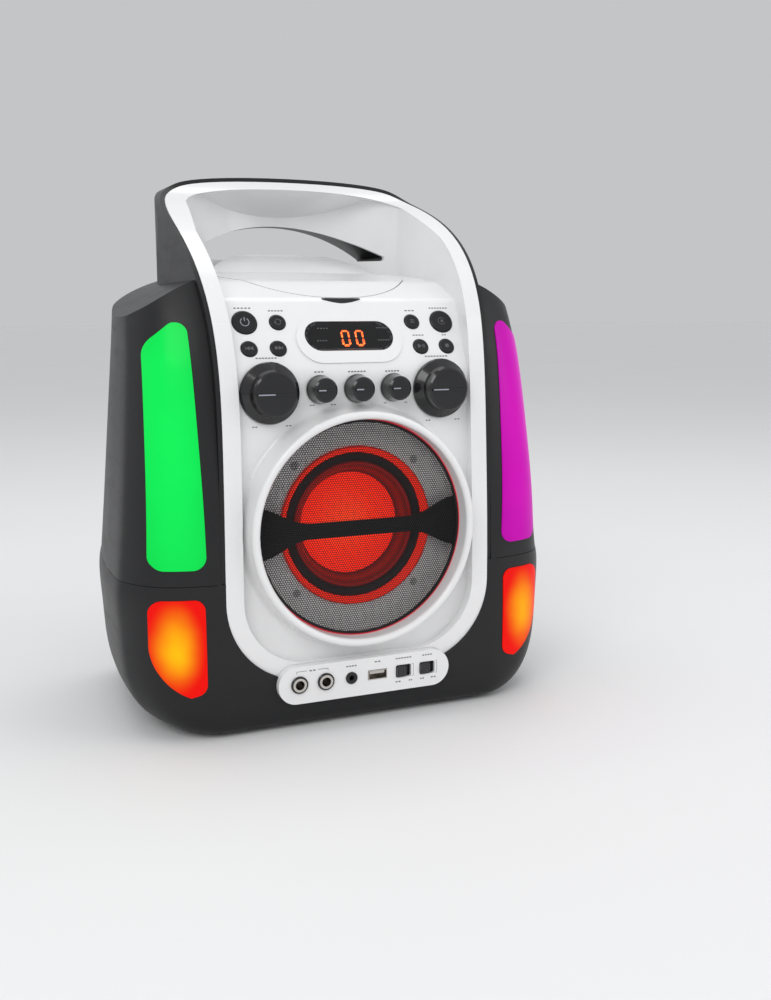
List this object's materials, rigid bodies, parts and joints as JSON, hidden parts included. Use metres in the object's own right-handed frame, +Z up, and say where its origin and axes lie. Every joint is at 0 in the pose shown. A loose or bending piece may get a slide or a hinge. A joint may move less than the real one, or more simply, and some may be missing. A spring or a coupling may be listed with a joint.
{
  "type": "karaoke machine with disc tray",
  "caption": "Portable karaoke machine: top-loading disc tray under a carry-handle arch, round speaker behind a mesh grille, tuning knobs, push buttons, display and lit side lenses.",
  "frame": {"origin": "middle of the footprint, on the table plane under the feet", "axes": "+Z up, -Y to the listener (front), +X to the right as seen from the front"},
  "size_m": [0.3218, 0.2172, 0.3835],
  "materials": {
    "white_gloss": "gloss",
    "white_satin": "satin",
    "black_grained": "satin, fine grain",
    "black_moulding": "satin",
    "green_lens": "translucent, lit",
    "magenta_lens": "translucent, lit",
    "amber_lens": "translucent, lit",
    "steel": "plain",
    "black_rubber": "matt",
    "clear_lens": "clear",
    "white_nylon": "satin",
    "grille_mesh": "hexagonal perforated mesh",
    "light_ring": "translucent, lit",
    "black_steel": "satin",
    "ferrite": "matt",
    "cone_pulp": "matt",
    "display_window": "smoked",
    "display_digits": "lit digits",
    "circuit_board": "satin",
    "nickel": "plated",
    "black_button": "satin",
    "black_knob": "satin",
    "transformer_iron": "varnished"
  },
  "bodies": {
    "housing": {"front_fascia": "white_gloss", "jack_panel": "white_satin", "back_housing": "black_grained", "base_housing": "black_grained", "left_side_cover": "black_grained", "right_side_cover": "black_grained", "left_light_lens": "green_lens", "right_light_lens": "magenta_lens", "left_corner_lens": "amber_lens", "right_corner_lens": "amber_lens", "lid_hinge_pins": "steel", "disc_well": "black_moulding", "mechanism_chassis": "black_moulding", "rubber_isolators": "black_rubber", "spindle_motor": "steel", "guide_rods": "steel", "speaker_grille": "grille_mesh", "grille_bar": "black_moulding", "woofer_light_ring": "light_ring", "woofer_basket": "black_steel", "woofer_magnet": "ferrite", "woofer_surround": "black_rubber", "woofer_screws": "black_steel", "display_window": "display_window", "display_module": "display_digits", "control_boards": "circuit_board", "potentiometers": "steel", "mic_jacks": "nickel", "aux_jack": "black_moulding", "usb_socket": "nickel", "slide_switches": "black_moulding", "main_board": "circuit_board", "power_transformer": "transformer_iron", "mains_inlet": "black_moulding", "video_jacks": "nickel", "rubber_feet": "black_rubber", "housing_screws": "black_steel", "light_boards": "circuit_board"},
    "lid": {"disc_lid": "white_gloss"},
    "spindle": {"disc_spindle": "black_moulding"},
    "pickup": {"pickup_sled": "black_moulding", "pickup_lens": "clear_lens"},
    "gear": {"sled_gear": "white_nylon"},
    "cone": {"woofer_cone": "cone_pulp", "dust_cap": "cone_pulp"},
    "function_lever": {"function_switch_lever": "black_moulding"},
    "light_lever": {"light_switch_lever": "black_moulding"},
    "power_button_cap": {"power_button": "black_button"},
    "repeat_button_cap": {"repeat_button": "black_button"},
    "previous_button_cap": {"previous_button": "black_button"},
    "next_button_cap": {"next_button": "black_button"},
    "program_button_cap": {"program_button": "black_button"},
    "source_button_cap": {"source_button": "black_button"},
    "play_button_cap": {"play_button": "black_button"},
    "stop_button_cap": {"stop_button": "black_button"},
    "mic_volume_knob_cap": {"mic_volume_knob": "black_knob"},
    "main_volume_knob_cap": {"main_volume_knob": "black_knob"},
    "echo_knob_cap": {"echo_knob": "black_knob"},
    "treble_knob_cap": {"treble_knob": "black_knob"},
    "balance_knob_cap": {"balance_knob": "black_knob"}
  },
  "joints": [
    {"name": "lid_hinge", "type": "hinge", "parent": "housing", "child": "lid", "pos_m": [0, 0.08484, 0.31912], "axis": [-1, 0, 0], "range_deg": [0, 45]},
    {"name": "spindle_turn", "type": "hinge", "parent": "housing", "child": "spindle", "pos_m": [0, 0.01219, 0.29346], "axis": [0, -0.2079, 0.9781], "continuous": true},
    {"name": "pickup_travel", "type": "slide", "parent": "housing", "child": "pickup", "axis": [1, 0, 0], "range_m": [0, 0.033]},
    {"name": "sled_gear_turn", "type": "hinge", "parent": "housing", "child": "gear", "pos_m": [0.0415, 0.04284, 0.28873], "axis": [0, -0.2079, 0.9781], "range_deg": [0, 240]},
    {"name": "cone_travel", "type": "slide", "parent": "housing", "child": "cone", "axis": [0, -1, 0], "range_m": [-0.002, 0.002], "stiffness_N_per_m": 1500},
    {"name": "power_button_press", "type": "slide", "parent": "housing", "child": "power_button_cap", "axis": [0, 0.8788, -0.4772], "range_m": [0, 0.0008], "stiffness_N_per_m": 900},
    {"name": "repeat_button_press", "type": "slide", "parent": "housing", "child": "repeat_button_cap", "axis": [0, 0.8788, -0.4772], "range_m": [0, 0.0008], "stiffness_N_per_m": 900},
    {"name": "previous_button_press", "type": "slide", "parent": "housing", "child": "previous_button_cap", "axis": [0, 0.8788, -0.4772], "range_m": [0, 0.0008], "stiffness_N_per_m": 900},
    {"name": "next_button_press", "type": "slide", "parent": "housing", "child": "next_button_cap", "axis": [0, 0.8788, -0.4772], "range_m": [0, 0.0008], "stiffness_N_per_m": 900},
    {"name": "program_button_press", "type": "slide", "parent": "housing", "child": "program_button_cap", "axis": [0, 0.8788, -0.4772], "range_m": [0, 0.0008], "stiffness_N_per_m": 900},
    {"name": "source_button_press", "type": "slide", "parent": "housing", "child": "source_button_cap", "axis": [0, 0.8788, -0.4772], "range_m": [0, 0.0008], "stiffness_N_per_m": 900},
    {"name": "play_button_press", "type": "slide", "parent": "housing", "child": "play_button_cap", "axis": [0, 0.8788, -0.4772], "range_m": [0, 0.0008], "stiffness_N_per_m": 900},
    {"name": "stop_button_press", "type": "slide", "parent": "housing", "child": "stop_button_cap", "axis": [0, 0.8788, -0.4772], "range_m": [0, 0.0008], "stiffness_N_per_m": 900},
    {"name": "mic_volume_knob_turn", "type": "hinge", "parent": "housing", "child": "mic_volume_knob_cap", "pos_m": [-0.0619, -0.08935, 0.23], "axis": [0, 1, 0], "range_deg": [-150, 150]},
    {"name": "main_volume_knob_turn", "type": "hinge", "parent": "housing", "child": "main_volume_knob_cap", "pos_m": [0.0619, -0.08935, 0.23], "axis": [0, 1, 0], "range_deg": [-150, 150]},
    {"name": "echo_knob_turn", "type": "hinge", "parent": "housing", "child": "echo_knob_cap", "pos_m": [-0.0267, -0.08935, 0.2316], "axis": [0, 1, 0], "range_deg": [-150, 150]},
    {"name": "treble_knob_turn", "type": "hinge", "parent": "housing", "child": "treble_knob_cap", "pos_m": [0, -0.08935, 0.2316], "axis": [0, 1, 0], "range_deg": [-150, 150]},
    {"name": "balance_knob_turn", "type": "hinge", "parent": "housing", "child": "balance_knob_cap", "pos_m": [0.0267, -0.08935, 0.2316], "axis": [0, 1, 0], "range_deg": [-150, 150]},
    {"name": "function_switch_lever_slide", "type": "slide", "parent": "housing", "child": "function_lever", "axis": [1, 0, 0], "range_m": [0, 0.004]},
    {"name": "light_switch_lever_slide", "type": "slide", "parent": "housing", "child": "light_lever", "axis": [1, 0, 0], "range_m": [0, 0.004]}
  ],
  "couplings": [
    {"joint": "sled_gear_turn", "follows": "pickup_travel", "rad_per_m": 125}
  ]
}
